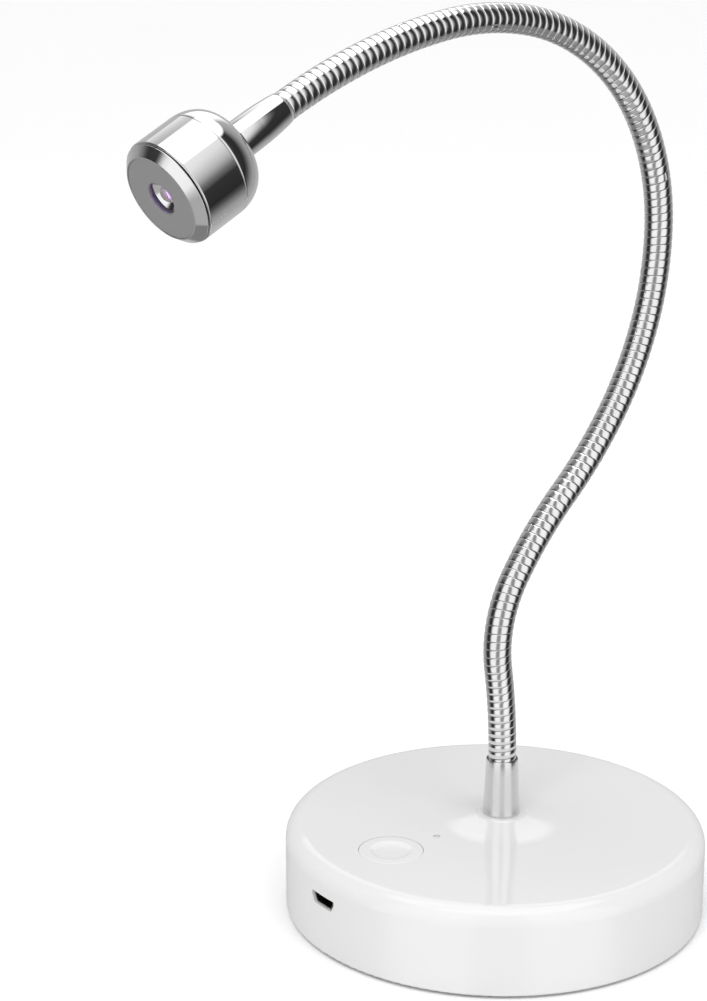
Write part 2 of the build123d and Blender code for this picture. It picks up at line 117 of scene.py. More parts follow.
# Soft light: white from the camera's side and from behind, and two softboxes, each
# with its name, place, side and power
WHITE_STRENGTHS = (1.18, 0.88)
SOFTBOXES = (
    ("right_softbox", (0.75, 0.1, 1.15), 0.4, 1.5),
    ("left_softbox", (0.38, -0.55, 1.15), 0.35, 2.8),
)
SOFTBOX_AIM = Vector((0, 0, 0.05))
FLOOR_RADIUS = 9.0


# ---------------------------------------------------------------- node helpers


def new_material(name):
    """A material with an empty tree and its Principled shader, linked to the output."""
    material = bpy.data.materials.new(name)
    material.use_nodes = True
    tree = material.node_tree
    tree.nodes.clear()
    output = tree.nodes.new("ShaderNodeOutputMaterial")
    shader = tree.nodes.new("ShaderNodeBsdfPrincipled")
    tree.links.new(shader.outputs["BSDF"], output.inputs["Surface"])
    return material, tree, shader


def noise(tree, scale, detail=2.0, stretch=(1, 1, 1)):
    """Noise in the object's own coordinates, stretched along an axis where asked."""
    place = tree.nodes.new("ShaderNodeTexCoord")
    mapping = tree.nodes.new("ShaderNodeMapping")
    mapping.inputs["Scale"].default_value = stretch
    texture = tree.nodes.new("ShaderNodeTexNoise")
    texture.inputs["Scale"].default_value = scale
    texture.inputs["Detail"].default_value = detail
    tree.links.new(place.outputs["Object"], mapping.inputs["Vector"])
    tree.links.new(mapping.outputs["Vector"], texture.inputs["Vector"])
    return texture.outputs["Fac"]


def ranged(tree, value, low, high, start=0.35, end=0.65):
    """A value's middle stretch, mapped to a range."""
    node = tree.nodes.new("ShaderNodeMapRange")
    node.inputs["From Min"].default_value = start
    node.inputs["From Max"].default_value = end
    node.inputs["To Min"].default_value = low
    node.inputs["To Max"].default_value = high
    tree.links.new(value, node.inputs["Value"])
    return node.outputs["Result"]


def lerp(tree, value, low, high, start, end):
    """A value mapped from one range to another, smoothly and held at the ends."""
    node = tree.nodes.new("ShaderNodeMapRange")
    node.interpolation_type = "SMOOTHSTEP"
    node.inputs["From Min"].default_value = start
    node.inputs["From Max"].default_value = end
    node.inputs["To Min"].default_value = low
    node.inputs["To Max"].default_value = high
    tree.links.new(value, node.inputs["Value"])
    return node.outputs["Result"]


def two_colours(tree, factor, first, second):
    """A mix of two colours by a factor."""
    node = tree.nodes.new("ShaderNodeMix")
    node.data_type = "RGBA"
    node.inputs["A"].default_value = (*first, 1)
    node.inputs["B"].default_value = (*second, 1)
    tree.links.new(factor, node.inputs["Factor"])
    return node.outputs["Result"]


def bumped(tree, shader, height, strength, distance):
    """Gives a shader a bump from a height."""
    node = tree.nodes.new("ShaderNodeBump")
    node.inputs["Strength"].default_value = strength
    node.inputs["Distance"].default_value = distance
    tree.links.new(height, node.inputs["Height"])
    tree.links.new(node.outputs["Normal"], shader.inputs["Normal"])


def grey(value):
    """A neutral colour."""
    return (value, value, value)


# ---------------------------------------------------------------- materials


def polished(name, low, high, smooth, rough):
    """Plated or polished metal: a faint cloud of handling marks and hairline scratches."""
    material, tree, shader = new_material(name)
    shader.inputs["Metallic"].default_value = 1.0
    cloud = noise(tree, 90, 4)
    tree.links.new(two_colours(tree, cloud, low, high), shader.inputs["Base Color"])
    tree.links.new(ranged(tree, cloud, smooth, rough), shader.inputs["Roughness"])
    bumped(tree, shader, noise(tree, 2500, 3), 0.02, 0.0001)
    return material


def coil_chrome():
    """Chrome on the crests of the wound band, rougher down in the groove, where painted shade darkens the colour
    to dark grey.
    """
    material, tree, shader = new_material("coil_chrome")
    shader.inputs["Metallic"].default_value = 1.0
    depth = tree.nodes.new("ShaderNodeAttribute")
    depth.attribute_name = "groove"
    cloud = noise(tree, 160, 3)
    crest = two_colours(tree, cloud, grey(0.74), grey(0.86))
    # painted shade: the deepest part of the groove is mixed to dark grey, standing in for the shade between the
    # turns
    mix = tree.nodes.new("ShaderNodeMix")
    mix.data_type = "RGBA"
    mix.inputs["B"].default_value = (0.12, 0.117, 0.114, 1)
    tree.links.new(ranged(tree, depth.outputs["Fac"], 0, 1, 0.93, 1.0), mix.inputs["Factor"])
    tree.links.new(crest, mix.inputs["A"])
    tree.links.new(mix.outputs["Result"], shader.inputs["Base Color"])
    roughness = ranged(tree, depth.outputs["Fac"], 0.08, 0.4, 0.85, 1.0)
    tree.links.new(roughness, shader.inputs["Roughness"])
    bumped(tree, shader, noise(tree, 1500, 3), 0.03, 0.0001)
    return material


def turned_metal(name, low, high, smooth, rough):
    """Satin turned metal: fine rings across the axis, a cloud of wear."""
    material, tree, shader = new_material(name)
    shader.inputs["Metallic"].default_value = 1.0
    cloud = noise(tree, 60, 4)
    tree.links.new(two_colours(tree, cloud, low, high), shader.inputs["Base Color"])
    tree.links.new(ranged(tree, cloud, smooth, rough), shader.inputs["Roughness"])
    bumped(tree, shader, noise(tree, 700, 2, (0.1, 0.1, 9)), 0.06, 0.0001)
    return material


def gloss_plastic(name, low, high, smooth, rough, grain=900, strength=0.03):
    """Moulded gloss plastic: slight colour drift, orange peel and polish marks."""
    material, tree, shader = new_material(name)
    tree.links.new(two_colours(tree, noise(tree, 18, 2), low, high), shader.inputs["Base Color"])
    tree.links.new(ranged(tree, noise(tree, 45, 5), smooth, rough), shader.inputs["Roughness"])
    shader.inputs["IOR"].default_value = 1.53
    bumped(tree, shader, noise(tree, grain, 2), strength, 0.0002)
    return material


def matt_plastic(name, low, high, roughness=0.55, grain=2200, strength=0.25):
    """Spark-eroded matt plastic, rubber or board surface with a fine grain."""
    material, tree, shader = new_material(name)
    tree.links.new(two_colours(tree, noise(tree, 140, 4), low, high), shader.inputs["Base Color"])
    tree.links.new(
        ranged(tree, noise(tree, 300, 3), roughness - 0.08, roughness + 0.08),
        shader.inputs["Roughness"],
    )
    bumped(tree, shader, noise(tree, grain, 2), strength, 0.0001)
    return material


def anodised_face():
    """Grey anodised disc: faint concentric turning marks and tiny pits."""
    material, tree, shader = new_material("anodised_face")
    shader.inputs["Metallic"].default_value = 0.35
    fine = noise(tree, 1200, 4)
    tree.links.new(two_colours(tree, fine, grey(0.285), grey(0.325)), shader.inputs["Base Color"])
    tree.links.new(ranged(tree, fine, 0.46, 0.58), shader.inputs["Roughness"])
    bumped(tree, shader, noise(tree, 3000, 2), 0.12, 0.0001)
    return material


def clear_lens(name, tint, roughness=0.03):
    """Moulded clear part, slightly cloudy inside."""
    material, tree, shader = new_material(name)
    colour = two_colours(tree, noise(tree, 400, 3), tint, (1, 1, 1))
    tree.links.new(colour, shader.inputs["Base Color"])
    tree.links.new(
        ranged(tree, noise(tree, 700, 2), roughness, roughness + 0.05), shader.inputs["Roughness"]
    )
    shader.inputs["Transmission Weight"].default_value = 1.0
    shader.inputs["IOR"].default_value = 1.43
    return material


def glowing_die():
    """The ultraviolet dies: a violet glow with the grid of the bond pads."""
    material, tree, shader = new_material("violet_die")
    cells = tree.nodes.new("ShaderNodeTexVoronoi")
    cells.inputs["Scale"].default_value = 2200
    place = tree.nodes.new("ShaderNodeTexCoord")
    tree.links.new(place.outputs["Object"], cells.inputs["Vector"])
    colour = two_colours(tree, cells.outputs["Distance"], (0.30, 0.05, 0.95), (0.62, 0.30, 1.0))
    tree.links.new(colour, shader.inputs["Base Color"])
    tree.links.new(colour, shader.inputs["Emission Color"])
    shader.inputs["Emission Strength"].default_value = 3.0
    shader.inputs["Roughness"].default_value = 0.4
    return material


def slot_materials():
    """One material for each of the record's slots."""
    steel = polished("zinc_steel", grey(0.50), grey(0.62), 0.28, 0.40)
    return {
        "shell": gloss_plastic("white_gloss_abs", grey(0.685), grey(0.71), 0.05, 0.09, 500, 0.01),
        "cover": matt_plastic("white_matt_abs", grey(0.70), grey(0.76)),
        "pad": matt_plastic("pad_rubber", grey(0.035), grey(0.06), 0.75, 1500, 0.5),
        "button": gloss_plastic("button_abs", grey(0.69), grey(0.715), 0.06, 0.10, 500, 0.01),
        "lens": matt_plastic("light_pipe", grey(0.47), grey(0.53), 0.25, 900, 0.05),
        "ballast": polished("ballast_steel", grey(0.36), grey(0.46), 0.35, 0.5),
        "screw": steel,
        "board": matt_plastic(
            "solder_mask", (0.015, 0.14, 0.05), (0.03, 0.21, 0.08), 0.35, 900, 0.1
        ),
        "chip": matt_plastic("black_epoxy", grey(0.02), grey(0.035), 0.5),
        "connector": matt_plastic("nylon", (0.78, 0.75, 0.66), (0.84, 0.81, 0.73), 0.45),
        "switch": matt_plastic("switch_black", grey(0.02), grey(0.04), 0.4),
        "led": gloss_plastic("led_body", (0.80, 0.76, 0.55), (0.88, 0.84, 0.66), 0.2, 0.35),
        "cell": polished("cell_foil", (0.60, 0.61, 0.63), (0.70, 0.71, 0.73), 0.30, 0.45),
        "wire": matt_plastic("wire_pvc", grey(0.02), grey(0.05), 0.4),
        "socket": polished("nickel", (0.42, 0.41, 0.39), (0.55, 0.54, 0.51), 0.16, 0.30),
        "tongue": matt_plastic("tongue_black", grey(0.008), grey(0.02), 0.45),
        "ferrule": turned_metal("satin_aluminium", grey(0.72), grey(0.80), 0.07, 0.11),
        "neck": coil_chrome(),
        "head": polished("head_chrome", grey(0.76), grey(0.84), 0.03, 0.08),
        "face": anodised_face(),
        "dome": clear_lens("dome_silicone", (0.95, 0.93, 1.0)),
        "package": matt_plastic("led_ceramic", (0.78, 0.75, 0.66), (0.88, 0.86, 0.78), 0.4),
        "star": matt_plastic("star_white", grey(0.60), grey(0.72), 0.4),
        "reflector": polished("reflector_silver", grey(0.80), grey(0.88), 0.08, 0.14),
        "sink": turned_metal("sink_aluminium", grey(0.62), grey(0.70), 0.25, 0.35),
    }


MATERIALS = slot_materials()


# ---------------------------------------------------------------- mesh helpers


def add_piece(name, bm, slot):
    """A mesh object from a bmesh, smooth shaded, with its slot's material."""
    mesh = bpy.data.meshes.new(name)
    bmesh.ops.recalc_face_normals(bm, faces=bm.faces)
    bm.to_mesh(mesh)
    bm.free()
    mesh.shade_smooth()
    piece = bpy.data.objects.new(name, mesh)
    bpy.context.scene.collection.objects.link(piece)
    mesh.materials.append(MATERIALS[slot])
    return piece


def weighted(piece):
    """Normals weighted by face area, so that small rounded edges leave the flats flat."""
    modifier = piece.modifiers.new("weighted", "WEIGHTED_NORMAL")
    modifier.weight = 100
    return piece


def rounded(corners):
    """Points of a closed outline; each corner is (height, radius, rounding)."""
    points = []
    count = len(corners)
    for i, (height, radius, rounding) in enumerate(corners):
        at = Vector((height, radius))
        before = Vector(corners[i - 1][:2])
        after = Vector(corners[(i + 1) % count][:2])
        if rounding == 0:
            points.append(at)
            continue
        inward = (before - at).normalized()
        outward = (after - at).normalized()
        half = inward.angle(outward) / 2
        reach = rounding / math.tan(half)
        centre = at + (inward + outward).normalized() * (rounding / math.sin(half))
        start = at + inward * reach - centre
        end = at + outward * reach - centre
        sweep = start.angle_signed(end)
        for step in range(CORNER_STEPS + 1):
            turn = Matrix.Rotation(-sweep * step / CORNER_STEPS, 2)
            points.append(centre + turn @ start)
    return points


def lathe(name, outline, slot, place, steps=LATHE_STEPS):
    """A closed outline of (height, radius) points turned about an axis.

    place is the matrix that puts the axis, the local Z, where it belongs.
    Points on the axis become one vertex.
    """
    bm = bmesh.new()
    rings = []
    for height, radius in outline:
        if radius < 1e-7:
            rings.append([bm.verts.new(place @ Vector((0, 0, height)))])
            continue
        ring = []
        for step in range(steps):
            angle = 2 * math.pi * step / steps
            point = Vector((radius * math.cos(angle), radius * math.sin(angle), height))
            ring.append(bm.verts.new(place @ point))
        rings.append(ring)
    for i, ring in enumerate(rings):
        join_rings(bm, rings[i - 1], ring)
    return weighted(add_piece(name, bm, slot))


def join_rings(bm, first, second):
    """Faces between two rings of vertices, either of which may be a single point."""
    if len(first) == 1 and len(second) == 1:
        return
    steps = max(len(first), len(second))
    for i in range(steps):
        j = (i + 1) % steps
        if len(first) == 1:
            bm.faces.new((first[0], second[j], second[i]))
        elif len(second) == 1:
            bm.faces.new((first[i], first[j], second[0]))
        else:
            bm.faces.new((first[i], first[j], second[j], second[i]))


def add_block(bm, place, middle, size):
    """A block of a size round a point of the place's coordinates."""
    matrix = place @ Matrix.Translation(middle) @ Matrix.Diagonal((*size, 1))
    bmesh.ops.create_cube(bm, size=1.0, matrix=matrix)


# ---------------------------------------------------------------- where the neck and the head are


def largest_flat(node):
    """The direction that the largest flat face of a CAD node looks in."""
    mesh = frame["nodes"][node].data
    faces = {}
    for polygon in mesh.polygons:
        key = tuple(round(c, 2) for c in polygon.normal)
        area, total = faces.get(key, (0.0, Vector()))
        faces[key] = (area + polygon.area, total + polygon.normal * polygon.area)
    return max(faces.values(), key=lambda entry: entry[0])[1].normalized()


class Arc:
    """An arc that leaves a point along a tangent and turns through an angle."""

    def __init__(self, start, tangent, inward, turn, length):
        self.start = start
        self.tangent = tangent
        self.inward = inward
        self.turn = turn
        self.length = length

    def point(self, along):
        """The point and the tangent at a distance along the arc, which may lie past its ends."""
        if self.turn < 1e-5:
            return self.start + self.tangent * along, self.tangent
        radius = self.length / self.turn
        angle = along / radius
        at = self.start + self.tangent * (radius * math.sin(angle))
        at = at + self.inward * (radius * (1 - math.cos(angle)))
        return at, self.tangent * math.cos(angle) + self.inward * math.sin(angle)


def arc_to(start, tangent, end):
    """The arc that leaves start along the tangent and reaches end."""
    chord = end - start
    half = tangent.angle(chord)
    inward = (chord - tangent * chord.dot(tangent)).normalized()
    length = chord.length * half / math.sin(half)
    return Arc(start, tangent, inward, 2 * half, length)


def neck_joints():
    """The hinges of the neck from the foot up, with the bodies on both sides."""
    hinges = [j for j in frame["joints"] if j["type"] == "hinge"]
    return sorted(hinges, key=lambda j: j["name"][-2:])


def neck_arcs(head_axis):
    """The arcs of the neck, one for each CAD segment."""
    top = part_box("lower_ferrule")[1]
    middle = (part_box("lower_ferrule")[0] + top) / 2
    start = Vector((middle.x, middle.y, top.z))
    tangent = Vector((0, 0, 1))
    arcs = []
    for joint in neck_joints():
        arc = arc_to(start, tangent, Vector(joint["pos_m"]))
        arcs.append(arc)
        start, tangent = arc.point(arc.length)
    turn = tangent.angle(head_axis)
    inward = (head_axis - tangent * head_axis.dot(tangent)).normalized()
    arcs.append(Arc(start, tangent, inward, turn, arcs[-1].length))
    return arcs


HEAD_AXIS = largest_flat("front_plate")
if HEAD_AXIS.y > 0:
    HEAD_AXIS = -HEAD_AXIS
ARCS = neck_arcs(HEAD_AXIS)
NECK_END = ARCS[-1].point(ARCS[-1].length)[0]


def head_place():
    """The matrix whose Z axis is the head's, with its origin at the end of the neck."""
    across = Vector((1, 0, 0))
    y_axis = HEAD_AXIS.cross(across).normalized()
    x_axis = y_axis.cross(HEAD_AXIS)
    matrix = Matrix((x_axis, y_axis, HEAD_AXIS)).transposed().to_4x4()
    return Matrix.Translation(NECK_END) @ matrix


HEAD = head_place()


def measured(node, place):
    """A turned CAD node's lowest and highest point along an axis, and its largest radius."""
    inverse = place.inverted()
    points = [inverse @ v.co for v in frame["nodes"][node].data.vertices]
    low = min(p.z for p in points)
    high = max(p.z for p in points)
    radius = max(math.hypot(p.x, p.y) for p in points)
    return low, high, radius


# ---------------------------------------------------------------- gooseneck


def neck_point(along):
    """The point and the tangent at a distance along the whole neck."""
    step = ARCS[0].length
    index = min(max(int(along // step), 0), len(ARCS) - 1)
    return ARCS[index].point(along - index * step)


def band_section():
    """Outline of the band: (offset along the neck, radius, depth in the groove)."""
    half = (COIL_PITCH - COIL_GAP) / 2
    points = []
    for across in COIL_BAND:
        fall = COIL_CROWN * across**2 + COIL_EDGE * across**COIL_ROUNDNESS
        points.append((across * half, COIL_CREST - fall, abs(across)))
    points.append((half, COIL_INNER, 1.0))
    points.append((-half, COIL_INNER, 1.0))
    return points


def coil(name, low, high):
    """The wound band between two distances along the neck, as one closed solid."""
    section = band_section()
    turns = (high - low) / COIL_PITCH
    steps = round(turns * COIL_STEPS_PER_TURN)
    bm = bmesh.new()
    layer = bm.verts.layers.float.new("groove")
    sections = []
    for i in range(steps + 1):
        along = low + (high - low) * i / steps
        angle = 2 * math.pi * along / COIL_PITCH
        ring = []
        for offset, radius, depth in section:
            at, tangent = neck_point(along + offset)
            side = Vector((1, 0, 0)) - tangent * tangent.x
            side.normalize()
            up = tangent.cross(side)
            vert = bm.verts.new(at + (side * math.cos(angle) + up * math.sin(angle)) * radius)
            vert[layer] = depth
            ring.append(vert)
        sections.append(ring)
    for before, after in zip(sections, sections[1:]):
        for j in range(len(section)):
            k = (j + 1) % len(section)
            bm.faces.new((before[j], before[k], after[k], after[j]))
    bm.faces.new(sections[0])
    bm.faces.new(list(reversed(sections[-1])))
    return add_piece(name, bm, "neck")


def build_neck():
    """Half a segment of coil at each end, and between them one piece across each hinge."""
    step = ARCS[0].length
    joints = neck_joints()
    first = coil("neck_coil_00", -COIL_TUCK, step / 2)
    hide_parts("neck_segment_01")
    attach(first, "base")
    for i, joint in enumerate(joints, start=1):
        piece = coil(f"neck_coil_{i:02d}", (i - 0.5) * step, (i + 0.5) * step)
        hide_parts(f"neck_segment_{i + 1:02d}")
        start = neck_point(i * step - BEND_REACH)[0]
        end = neck_point(i * step + BEND_REACH)[0]
        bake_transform(piece)
    count = len(joints) + 1
    last = coil(f"neck_coil_{count:02d}", (count - 0.5) * step, count * step + COIL_TUCK)
    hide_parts(f"neck_segment_{count:02d}")
    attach(last, "head")


# ---------------------------------------------------------------- ferrules and head


def upright(low, high):
    """The upright axis through the middle of a box."""
    middle = (low + high) / 2
    return Matrix.Translation((middle.x, middle.y, 0))


def build_lower_ferrule():
    low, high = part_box("lower_ferrule")
    place = upright(low, high)
    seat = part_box("base_shell")[1].z
    foot_radius = (high.x - low.x) / 2
    top_radius = 4.0 * MM
    lip = 0.30 * MM
    lip_depth = 0.9 * MM
    outline = rounded([
        (high.z, FERRULE_BORE + lip, 0.08 * MM),
        (high.z, top_radius, 0.20 * MM),
        (seat, foot_radius, 0.30 * MM),
        (seat, FERRULE_BORE, 0),
        (high.z - lip_depth, FERRULE_BORE, 0.1 * MM),
    ])
    piece = lathe("lower_ferrule_sleeve", outline, "ferrule", place)
    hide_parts("lower_ferrule")
    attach(piece, "base")


def build_upper_ferrule():
    """Sleeve whose nose swells along a quarter sine wave and then runs on to the rear cap."""
    back = measured("head_rear_cap", HEAD)[0]
    edge_radius = 3.66 * MM
    nose_radius = 3.70 * MM
    nose_swell = 0.60 * MM
    nose_length = 9.0 * MM
    back_radius = 4.40 * MM
    steps = 12
    outline = [Vector((0.0, FERRULE_BORE)), Vector((0.0, edge_radius))]
    for i in range(1, steps + 1):
        share = i / steps
        radius = nose_radius + nose_swell * math.sin(share * math.pi / 2)
        outline.append(Vector((share * nose_length, radius)))
    outline.append(Vector((back, back_radius)))
    outline.append(Vector((back, FERRULE_BORE)))
    piece = lathe("upper_ferrule_sleeve", outline, "head", HEAD)
    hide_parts("upper_ferrule")
    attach(piece, "head")


def build_rear_cap():
    """Domed cap: a flat back, a quarter ellipse out to the seam, and a hollow inside."""
    low, _, radius = measured("head_rear_cap", HEAD)
    seam = measured("head_barrel", HEAD)[0]
    hole = 3.1 * MM
    flat = 7.4 * MM
    floor = low + 2 * MM
    steps = 20
    outline = [Vector((low, hole)), Vector((low, flat * 0.8))]
    for i in range(steps):
        angle = math.pi / 2 * i / steps
        height = seam - (seam - low) * math.cos(angle)
        outline.append(Vector((height, flat + (radius - flat) * math.sin(angle))))
    outline += [
        Vector((seam - 0.22 * MM, radius)),
        Vector((seam - 0.06 * MM, radius - 0.05 * MM)),
        Vector((seam, radius - 0.2 * MM)),
        Vector((seam, 9.4 * MM)),
        Vector((floor, 9.0 * MM)),
        Vector((floor, hole)),
    ]
    piece = lathe("head_rear_cap_skin", outline, "head", HEAD)
    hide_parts("head_rear_cap")
    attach(piece, "head")


def build_barrel():
    low, high, radius = measured("head_barrel", HEAD)
    bore = 10.8 * MM
    outline = rounded([
        (low, bore, 0),
        (low, radius, 0.14 * MM),
        (high, radius, 0.35 * MM),
        (high, bore, 0),
    ])
    piece = lathe("head_barrel_skin", outline, "head", HEAD)
    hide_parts("head_barrel")
    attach(piece, "head")


def build_bezel():
    """Chamfered ring behind a narrow groove, which parts it from the barrel."""
    face = measured("front_bezel", HEAD)[1]
    plate = measured("front_plate", HEAD)[2]
    _, seam, barrel = measured("head_barrel", HEAD)
    radius = barrel - 0.10 * MM
    groove_radius = radius - 0.7 * MM
    groove_end = seam + 0.32 * MM
    outline = rounded([
        (seam, plate, 0),
        (seam, groove_radius, 0),
        (groove_end, groove_radius, 0),
        (groove_end, radius, 0.12 * MM),
        (face, plate + 0.32 * MM, 0.10 * MM),
        (face, plate + 0.03 * MM, 0.05 * MM),
    ])
    piece = lathe("front_bezel_ring", outline, "head", HEAD)
    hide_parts("front_bezel")
    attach(piece, "head")


def build_front_plate():
    low, high, radius = measured("front_plate", HEAD)
    hole = 3.8 * MM
    outline = rounded([
        (low, hole, 0),
        (low, radius, 0),
        (high, radius, 0.08 * MM),
        (high, hole, 0.14 * MM),
    ])
    piece = lathe("front_plate_disc", outline, "face", HEAD)
    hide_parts("front_plate")
    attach(piece, "head")


def build_dome():
    """Half-round lens over the dies."""
    base, _, radius = measured("led_dome", HEAD)
    steps = 16
    outline = [Vector((base, 0.0))]
    for i in range(steps):
        angle = math.pi / 2 * i / steps
        outline.append(Vector((base + radius * math.sin(angle), radius * math.cos(angle))))
    outline.append(Vector((base + radius, 0.0)))
    dome = lathe("led_dome_lens", outline, "dome", HEAD, 64)
    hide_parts("led_dome")
    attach(dome, "head")


def build_reflector():
    """Funnel that narrows from its mouth to the lens."""
    base, _, lens = measured("led_dome", HEAD)
    low, high, outer = measured("led_reflector", HEAD)
    throat = lens + 0.3 * MM
    mouth = outer - 1.0 * MM
    seat = outer - 1.5 * MM
    throat_z = base + 0.1 * MM
    outline = rounded([
        (low, seat, 0),
        (low, outer, 0),
        (high, outer, 0),
        (high, mouth, 0.08 * MM),
        (throat_z, throat, 0.08 * MM),
        (throat_z, seat, 0),
    ])
    funnel = lathe("led_reflector_funnel", outline, "reflector", HEAD, 96)
    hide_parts("led_reflector")
    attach(funnel, "head")


def build_dies():
    """Four glowing dies under the lens."""
    base = measured("led_dome", HEAD)[0]
    side = 0.85 * MM
    thickness = 0.12 * MM
    pitch = 1.15 * side
    bm = bmesh.new()
    for i in (-0.5, 0.5):
        for j in (-0.5, 0.5):
            middle = (i * pitch, j * pitch, base + thickness / 2)
            add_block(bm, HEAD, middle, (side, side, thickness))
    dies = add_piece("led_dies", bm, "package")
    dies.data.materials[0] = glowing_die()
    dies.data.shade_flat()
    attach(dies, "head")


# ---------------------------------------------------------------- base


def build_button():
    """The cap with a flange below and a shallow dish in its top."""
    low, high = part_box("power_button")
    place = upright(low, high)
    radius = 7.95 * MM
    flange = (high.x - low.x) / 2
    flange_top = low.z + 0.9 * MM
    top = high.z
    hollow = radius - 1.2 * MM
    hollow_top = top - 1.4 * MM
    dish = 4.5 * MM
    dish_depth = 0.35 * MM
    dish_start = dish + 0.9 * MM
    dish_slope = 1.6 * MM
    outline = [
        Vector((hollow_top, 0.0)),
        Vector((hollow_top, hollow)),
        Vector((low.z, hollow)),
        Vector((low.z, flange)),
        Vector((flange_top, flange)),
        Vector((flange_top, radius)),
    ]
    outline += rounded([(low.z, radius, 0), (top, radius, 0.3 * MM), (top, 0.0, 0)])[1:-1]
    steps = 10
    for i in range(steps + 1):
        share = i / steps
        height = top - dish_depth * (0.5 - 0.5 * math.cos(math.pi * share))
        outline.append(Vector((height, dish_start - share * dish_slope)))
    outline.append(Vector((top - dish_depth, 0.0)))
    piece = lathe("power_button_cap", outline, "button", place)
    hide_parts("power_button")
    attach(piece, "power_button")


def build_indicator():
    low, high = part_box("indicator_lens")
    place = upright(low, high)
    radius = 0.8 * MM
    outline = rounded([
        (low.z, 0.0, 0),
        (low.z, radius, 0),
        (high.z, radius, 0.25 * MM),
        (high.z, 0.0, 0),
    ])
    piece = lathe("indicator_light_pipe", outline, "lens", place, 48)
    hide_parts("indicator_lens")
    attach(piece, "base")


def build_usb_contacts():
    """Five contact strips on the tongue of the socket."""
    low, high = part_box("usb_socket_tongue")
    middle = (low + high) / 2
    count = 5
    pitch = 0.65 * MM
    size = (0.3 * MM, (high.y - low.y) * 0.85, 0.12 * MM)
    bm = bmesh.new()
    for i in range(count):
        x = middle.x + (i - (count - 1) / 2) * pitch
        add_block(bm, Matrix.Identity(4), (x, middle.y - 0.2 * MM, low.z - 0.05 * MM), size)
    strips = add_piece("usb_contact_strips", bm, "socket")
    strips.data.shade_flat()
    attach(strips, "base")


def paint_cad_nodes():
    """Gives every CAD node the material of its record slot."""
    for row in frame["record"]["subparts"]:
        node = frame["nodes"][row["node"]]
        node.data.materials.clear()
        node.data.materials.append(MATERIALS[row["material_slot"]])


# ---------------------------------------------------------------- studio


def add_floor():
    """Pale paper floor, left out of reflections, which show the studio's own floor."""
    bm = bmesh.new()
    bmesh.ops.create_circle(bm, cap_ends=True, segments=96, radius=FLOOR_RADIUS)
    mesh = bpy.data.meshes.new("floor")
    bm.to_mesh(mesh)
    bm.free()
    floor = bpy.data.objects.new("floor", mesh)
    bpy.context.scene.collection.objects.link(floor)
    material, tree, shader = new_material("floor_paper")
    shader.inputs["Roughness"].default_value = 0.9
    shader.inputs["Specular IOR Level"].default_value = 0.1
    paper = two_colours(tree, noise(tree, 3, 3), grey(0.93), grey(0.95))
    tree.links.new(paper, shader.inputs["Base Color"])
    mesh.materials.append(material)
    floor.visible_glossy = False


def math_node(tree, operation, first, second=None):
    """A Math node; each input is a number or another node's output."""
    node = tree.nodes.new("ShaderNodeMath")
    node.operation = operation
    for socket, value in zip(node.inputs, (first, second)):
        if value is None:
            continue
        if isinstance(value, float):
            socket.default_value = value
        else:
            tree.links.new(value, socket)
    return node.outputs["Value"]


def side_ramp(tree, share, stops):
    """Brightness at (angle, value) stops, read at a share of half a turn."""
    ramp = tree.nodes.new("ShaderNodeValToRGB")
    elements = ramp.color_ramp.elements
    elements.remove(elements[1])
    elements[0].color = (*grey(stops[0][1]), 1)
    for angle, value in stops[1:]:
        elements.new(angle / 180).color = (*grey(value), 1)
    tree.links.new(share, ramp.inputs["Fac"])
    return ramp.outputs["Color"]


def camera_side(tree):
    """The direction turned so that X is the camera's side, and its angle away from there."""
    place = tree.nodes.new("ShaderNodeTexCoord")
    turn = tree.nodes.new("ShaderNodeVectorRotate")
    turn.rotation_type = "Z_AXIS"
    turn.inputs["Angle"].default_value = math.radians(90 - CAMERA_AZIMUTH)
    tree.links.new(place.outputs["Generated"], turn.inputs["Vector"])
    split = tree.nodes.new("ShaderNodeSeparateXYZ")
    tree.links.new(turn.outputs["Vector"], split.inputs["Vector"])
    side = math_node(tree, "ARCTAN2", split.outputs["Y"], split.outputs["X"])
    share = math_node(tree, "DIVIDE", math_node(tree, "ABSOLUTE", side), math.pi)
    return split.outputs["Z"], side, share


def reflected_studio(tree, height, side, share):
    """What shiny surfaces see: upright softboxes and dark gaps, a white ceiling, a grey floor.

    The pattern depends on the angle away from the camera's side, which share
    gives as a part of half a turn.
    """
    right = lerp(tree, side, STUDIO_UPPER_GAP, 0.0, -0.5, 0.5)
    upper = lerp(tree, height, 0.0, 1.0, *GAP_HEIGHTS)
    sides = side_ramp(tree, share, STUDIO_SIDES)
    sides = math_node(tree, "MAXIMUM", sides, math_node(tree, "MULTIPLY", right, upper))
    behind = lerp(tree, share, 0.0, STUDIO_BACK, *BACK_SIDES)
    high = lerp(tree, height, 0.0, 1.0, *BACK_HEIGHTS)
    sides = math_node(tree, "MAXIMUM", sides, math_node(tree, "MULTIPLY", behind, high))
    above = lerp(tree, height, 0.0, 1.0, *CEILING_HEIGHTS)
    below = lerp(tree, height, 1.0, 0.0, *FLOOR_HEIGHTS)
    with_ceiling = tree.nodes.new("ShaderNodeMix")
    with_ceiling.data_type = "RGBA"
    tree.links.new(above, with_ceiling.inputs["Factor"])
    tree.links.new(sides, with_ceiling.inputs["A"])
    with_ceiling.inputs["B"].default_value = (*grey(STUDIO_CEILING), 1)
    with_floor = tree.nodes.new("ShaderNodeMix")
    with_floor.data_type = "RGBA"
    tree.links.new(below, with_floor.inputs["Factor"])
    tree.links.new(with_ceiling.outputs["Result"], with_floor.inputs["A"])
    tree.links.new(side_ramp(tree, share, STUDIO_FLOOR_SIDES), with_floor.inputs["B"])
    return with_floor.outputs["Result"]


def background(tree, strength=1.0):
    """A background shader, plain white unless its colour is linked."""
    node = tree.nodes.new("ShaderNodeBackground")
    node.inputs["Color"].default_value = (1, 1, 1, 1)
    node.inputs["Strength"].default_value = strength
    return node


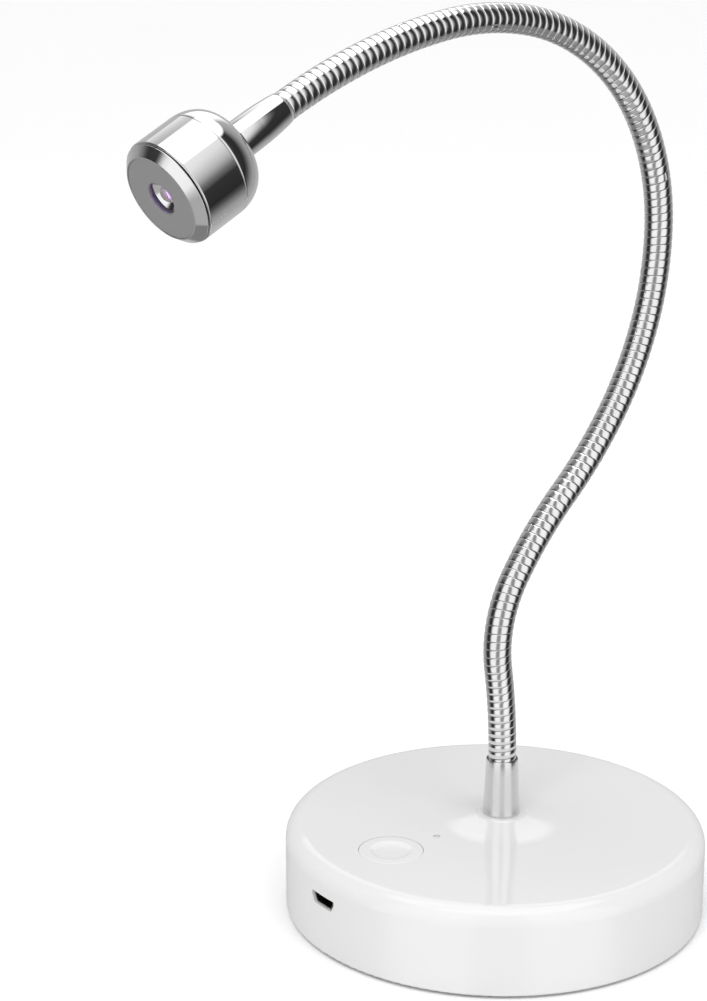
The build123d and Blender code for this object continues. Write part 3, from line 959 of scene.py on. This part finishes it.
def chosen(tree, ray, other, picked):
    """One shader for a kind of ray and another for the rest."""
    mix = tree.nodes.new("ShaderNodeMixShader")
    tree.links.new(ray, mix.inputs["Fac"])
    tree.links.new(other, mix.inputs[1])
    tree.links.new(picked, mix.inputs[2])
    return mix.outputs["Shader"]


def add_world():
    """Soft white light, more of it from the camera's side; the studio for what shines."""
    world = bpy.data.worlds.new("studio")
    bpy.context.scene.world = world
    world.use_nodes = True
    tree = world.node_tree
    tree.nodes.clear()
    output = tree.nodes.new("ShaderNodeOutputWorld")
    height, side, share = camera_side(tree)
    soft = background(tree)
    tree.links.new(lerp(tree, share, *WHITE_STRENGTHS, 0.0, 1.0), soft.inputs["Strength"])
    studio = background(tree, STUDIO_STRENGTH)
    tree.links.new(reflected_studio(tree, height, side, share), studio.inputs["Color"])
    plain = background(tree)
    path = tree.nodes.new("ShaderNodeLightPath")
    light = chosen(tree, path.outputs["Is Glossy Ray"], soft.outputs[0], studio.outputs[0])
    seen = chosen(tree, path.outputs["Is Camera Ray"], light, plain.outputs[0])
    tree.links.new(seen, output.inputs["Surface"])


def add_softbox(name, place, side, power):
    """A square light that shiny surfaces don't mirror."""
    light = bpy.data.lights.new(name, "AREA")
    light.shape = "RECTANGLE"
    light.size = side
    light.size_y = side
    light.energy = power
    lamp = bpy.data.objects.new(name, light)
    lamp.location = place
    lamp.rotation_euler = (SOFTBOX_AIM - Vector(place)).to_track_quat("-Z", "Y").to_euler()
    lamp.visible_glossy = False
    bpy.context.scene.collection.objects.link(lamp)


def add_camera():
    low, high = cad_box
    aim = (low + high) / 2 + AIM_OFFSET
    azimuth = math.radians(CAMERA_AZIMUTH)
    pitch = math.radians(CAMERA_PITCH)
    back = Vector((
        math.sin(azimuth) * math.cos(pitch),
        -math.cos(azimuth) * math.cos(pitch),
        math.sin(pitch),
    ))
    data = bpy.data.cameras.new("camera")
    data.lens = CAMERA_LENS
    data.sensor_width = 36.0
    data.clip_start = 0.01
    camera = bpy.data.objects.new("camera", data)
    camera.location = aim + back * CAMERA_DISTANCE
    camera.rotation_euler = (math.pi / 2 - pitch, 0, azimuth)
    bpy.context.scene.collection.objects.link(camera)
    bpy.context.scene.camera = camera


paint_cad_nodes()
add_camera()
add_floor()
add_world()
for softbox in SOFTBOXES:
    add_softbox(*softbox)
bpy.context.scene.view_settings.view_transform = "Standard"

build_neck()
build_lower_ferrule()
build_upper_ferrule()
build_rear_cap()
build_barrel()
build_bezel()
build_front_plate()
build_dome()
build_reflector()
build_dies()
build_button()
build_indicator()
build_usb_contacts()
